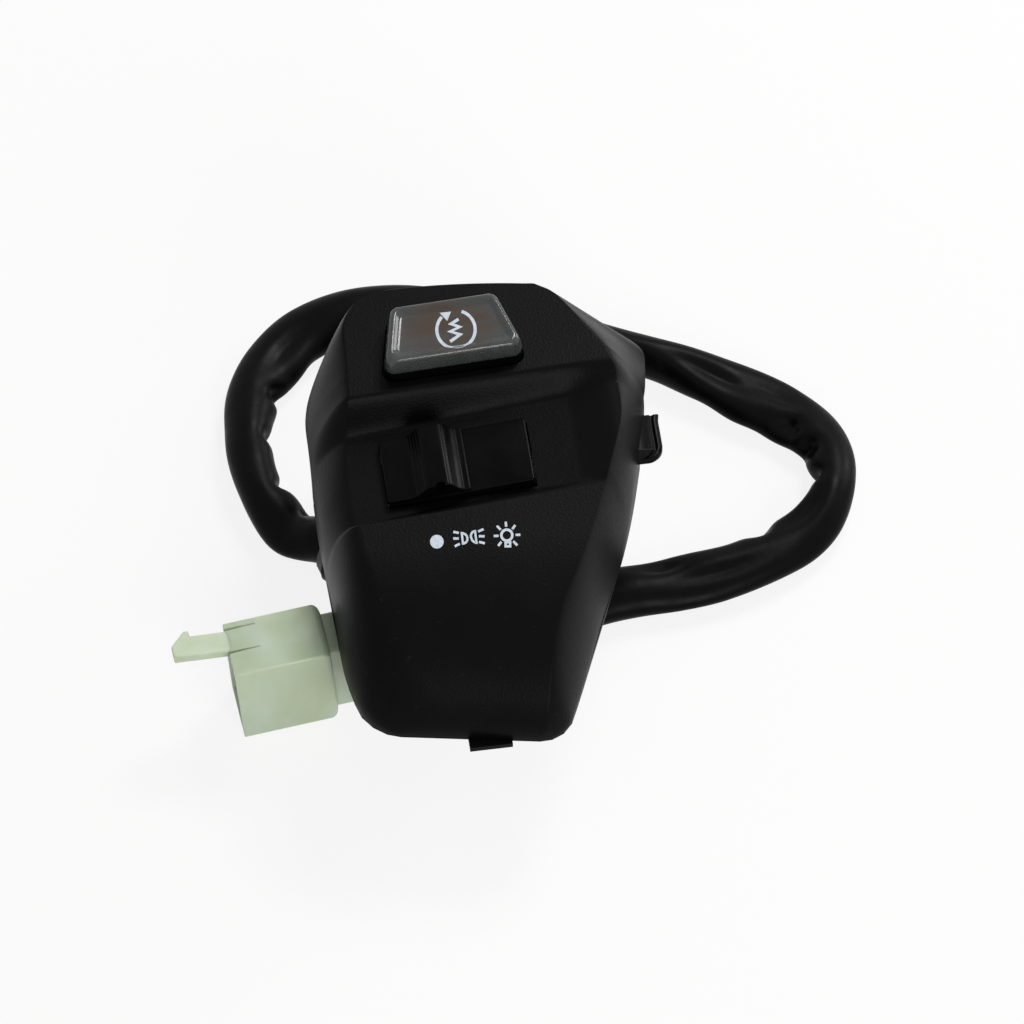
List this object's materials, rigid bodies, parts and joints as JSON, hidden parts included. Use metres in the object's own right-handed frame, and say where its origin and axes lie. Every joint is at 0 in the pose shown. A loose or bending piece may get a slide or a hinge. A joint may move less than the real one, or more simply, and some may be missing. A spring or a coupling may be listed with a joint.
{
  "type": "handlebar switch cluster",
  "caption": "Handlebar switch housing with a sprung start button, a three-place lighting slider, a sleeved harness and a latching plug.",
  "frame": {"origin": "on the handlebar bore's axis, at the middle of the clamp", "axes": "+X along the bar, +Y toward the start button's end, +Z out of the front face"},
  "size_m": [0.1428, 0.1281, 0.0575],
  "materials": {
    "shell_abs": "grained satin black",
    "gloss_black": "gloss black",
    "smoke_acrylic": "smoke grey, translucent",
    "legend_brown": "brown plate",
    "switch_base": "cream moulding",
    "steel": "zinc plated",
    "brass": "bare",
    "rubber": "matt black",
    "pvc_sleeve": "satin black PVC",
    "wire_red": "PVC lead",
    "wire_blue": "PVC lead",
    "wire_grey": "PVC lead",
    "nylon": "natural milky nylon"
  },
  "bodies": {
    "housing": {"front_shell": "shell_abs", "rear_shell": "shell_abs", "side_clip": "gloss_black", "housing_screws": "steel", "cable_gland": "rubber", "start_guide": "switch_base", "start_terminals": "brass", "start_spring": "steel", "start_wires": "wire_red", "light_slide_plate": "gloss_black", "light_base": "switch_base", "light_terminals": "brass", "light_wires": "wire_blue", "module_screws": "steel", "harness_sleeve": "pvc_sleeve", "lead_wires": "wire_grey", "connector_body": "nylon", "connector_terminals": "brass"},
    "start_button": {"start_lens": "smoke_acrylic", "start_legend_plate": "legend_brown", "start_plunger": "gloss_black", "start_contact_bridge": "brass"},
    "light_slider": {"light_knob": "gloss_black", "light_carriage": "switch_base", "light_contact": "brass", "detent_ball": "steel", "detent_spring": "steel"}
  },
  "joints": [
    {"name": "start_press", "type": "slide", "parent": "housing", "child": "start_button", "axis": [0, 0, -1], "range_m": [0, 0.003], "stiffness_N_per_m": 600, "springref_m": -0.002, "deforming": ["start_spring"]},
    {"name": "light_slide", "type": "slide", "parent": "housing", "child": "light_slider", "axis": [0.9925, 0, 0.1219], "range_m": [0, 0.0126]}
  ]
}
